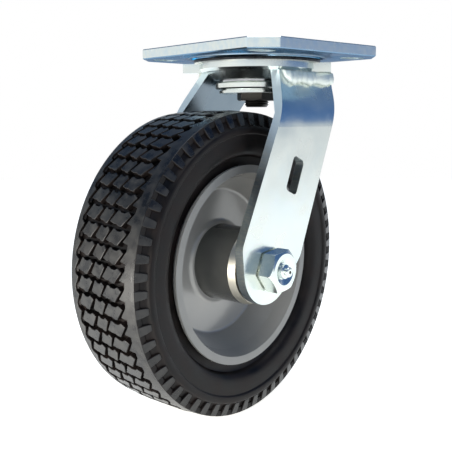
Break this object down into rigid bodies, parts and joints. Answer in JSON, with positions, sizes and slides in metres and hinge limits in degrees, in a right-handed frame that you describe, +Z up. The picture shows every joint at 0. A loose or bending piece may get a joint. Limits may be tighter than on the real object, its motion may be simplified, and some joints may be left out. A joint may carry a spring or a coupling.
{
  "type": "swivel castor",
  "caption": "Swivel plate castor: slotted top plate, ball-race swivel head, bent steel fork with welded legs and a treaded solid tyre on a dished wheel.",
  "frame": {"origin": "centre of the bolt pattern, on the top plate's flat upper face", "axes": "+Z up out of the mounting face, +X along the plate's shorter side, +Y along its longer side; at rest the fork stands turned 8.4 degrees about +Z and the wheel trails towards -X"},
  "size_m": [0.156, 0.1039, 0.1849],
  "materials": {
    "top_plate": "bright zinc plate",
    "kingpin": "black oxide",
    "kingpin_nut": "black oxide",
    "lower_race_cup": "bright zinc plate",
    "race_washer": "bright zinc plate",
    "upper_balls": "ground and hardened",
    "lower_balls": "ground and hardened",
    "upper_retainer": "ground and hardened",
    "lower_retainer": "ground and hardened",
    "yoke_base": "bright zinc plate",
    "near_leg": "bright zinc plate",
    "far_leg": "bright zinc plate",
    "near_weld": "bright zinc plate",
    "far_weld": "bright zinc plate",
    "dust_seal": "matt black",
    "axle_bolt": "bright zinc plate",
    "grease_fitting": "bright zinc plate",
    "axle_nut": "bright zinc plate",
    "axle_bushing": "ground and hardened",
    "near_thrust_washer": "black oxide",
    "far_thrust_washer": "black oxide",
    "bearing_rollers": "ground and hardened",
    "roller_cage": "ground and hardened",
    "bearing_sleeve": "ground and hardened",
    "near_hub_seal": "matt black",
    "far_hub_seal": "matt black",
    "wheel_core": "smooth grey casting",
    "tyre": "moulded solid rubber"
  },
  "bodies": {
    "plate": {"top_plate": "top_plate", "kingpin": "kingpin", "kingpin_nut": "kingpin_nut", "lower_race_cup": "lower_race_cup", "race_washer": "race_washer"},
    "upper_ball_train": {"upper_balls": "upper_balls", "upper_retainer": "upper_retainer"},
    "lower_ball_train": {"lower_balls": "lower_balls", "lower_retainer": "lower_retainer"},
    "yoke": {"yoke_base": "yoke_base", "dust_seal": "dust_seal", "near_leg": "near_leg", "far_leg": "far_leg", "near_weld": "near_weld", "far_weld": "far_weld", "axle_bolt": "axle_bolt", "grease_fitting": "grease_fitting", "axle_nut": "axle_nut", "axle_bushing": "axle_bushing", "near_thrust_washer": "near_thrust_washer", "far_thrust_washer": "far_thrust_washer"},
    "roller_train": {"bearing_rollers": "bearing_rollers", "roller_cage": "roller_cage"},
    "wheel": {"wheel_core": "wheel_core", "tyre": "tyre", "bearing_sleeve": "bearing_sleeve", "near_hub_seal": "near_hub_seal", "far_hub_seal": "far_hub_seal"}
  },
  "joints": [
    {"name": "swivel", "type": "hinge", "parent": "plate", "child": "yoke", "pos_m": [0, 0, 0], "axis": [0, 0, 1], "continuous": true},
    {"name": "upper_ball_roll", "type": "hinge", "parent": "plate", "child": "upper_ball_train", "pos_m": [0, 0, 0], "axis": [0, 0, 1], "continuous": true},
    {"name": "lower_ball_roll", "type": "hinge", "parent": "plate", "child": "lower_ball_train", "pos_m": [0, 0, 0], "axis": [0, 0, 1], "continuous": true},
    {"name": "wheel_spin", "type": "hinge", "parent": "yoke", "child": "wheel", "pos_m": [-0.03324, -0.00491, -0.1087], "axis": [-0.1461, 0.9893, 0], "continuous": true},
    {"name": "roller_roll", "type": "hinge", "parent": "yoke", "child": "roller_train", "pos_m": [-0.03324, -0.00491, -0.1087], "axis": [-0.1461, 0.9893, 0], "continuous": true}
  ],
  "couplings": [
    {"joint": "upper_ball_roll", "follows": "swivel", "ratio": 0.5},
    {"joint": "lower_ball_roll", "follows": "swivel", "ratio": 0.5},
    {"joint": "roller_roll", "follows": "wheel_spin", "ratio": 0.6129}
  ]
}
